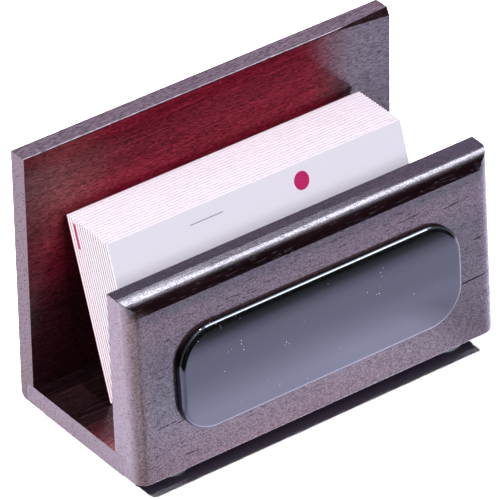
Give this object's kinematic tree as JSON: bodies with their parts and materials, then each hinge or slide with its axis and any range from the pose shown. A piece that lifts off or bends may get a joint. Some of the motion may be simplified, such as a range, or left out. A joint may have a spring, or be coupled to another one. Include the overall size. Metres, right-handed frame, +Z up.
{
  "type": "desk business card holder",
  "caption": "Lacquered wooden desk holder for business cards: tall back, low thick front with a bare domed black badge, open ends, leaning card pack.",
  "frame": {"origin": "on the desk, under the middle of the whole object", "axes": "+X along the holder to its right end, -Y the way the front board faces, +Z up"},
  "size_m": [0.112, 0.0516, 0.0754],
  "materials": {
    "lacquered_wood": "gloss lacquer over dark rosewood stain",
    "black_badge": "polished black, crowned",
    "adhesive_tape": "thin double-sided tape",
    "rubber_foot": "matt",
    "card_stock": "uncoated white board, rose-tinted edges"
  },
  "bodies": {
    "holder": {"back_board": "lacquered_wood", "base_board": "lacquered_wood", "front_board": "lacquered_wood", "badge_tape": "adhesive_tape", "badge_plate": "black_badge", "foot_front_left": "rubber_foot", "foot_front_right": "rubber_foot", "foot_rear_left": "rubber_foot", "foot_rear_right": "rubber_foot", "foot_tape_front_left": "adhesive_tape", "foot_tape_front_right": "adhesive_tape", "foot_tape_rear_left": "adhesive_tape", "foot_tape_rear_right": "adhesive_tape"},
    "card_pack": {"card_01": "card_stock", "card_02": "card_stock", "card_03": "card_stock", "card_04": "card_stock", "card_05": "card_stock", "card_06": "card_stock", "card_07": "card_stock", "card_08": "card_stock", "card_09": "card_stock", "card_10": "card_stock", "card_11": "card_stock", "card_12": "card_stock", "card_13": "card_stock", "card_14": "card_stock", "card_15": "card_stock"},
    "front_card": {"front_card": "card_stock"}
  },
  "joints": [
    {"name": "card_pack_lift", "type": "slide", "parent": "holder", "child": "card_pack", "axis": [0, 0.0279, 0.9996], "range_m": [0, 0.07]},
    {"name": "front_card_lift", "type": "slide", "parent": "card_pack", "child": "front_card", "axis": [0, 0.3203, 0.9473], "range_m": [0, 0.072]}
  ]
}
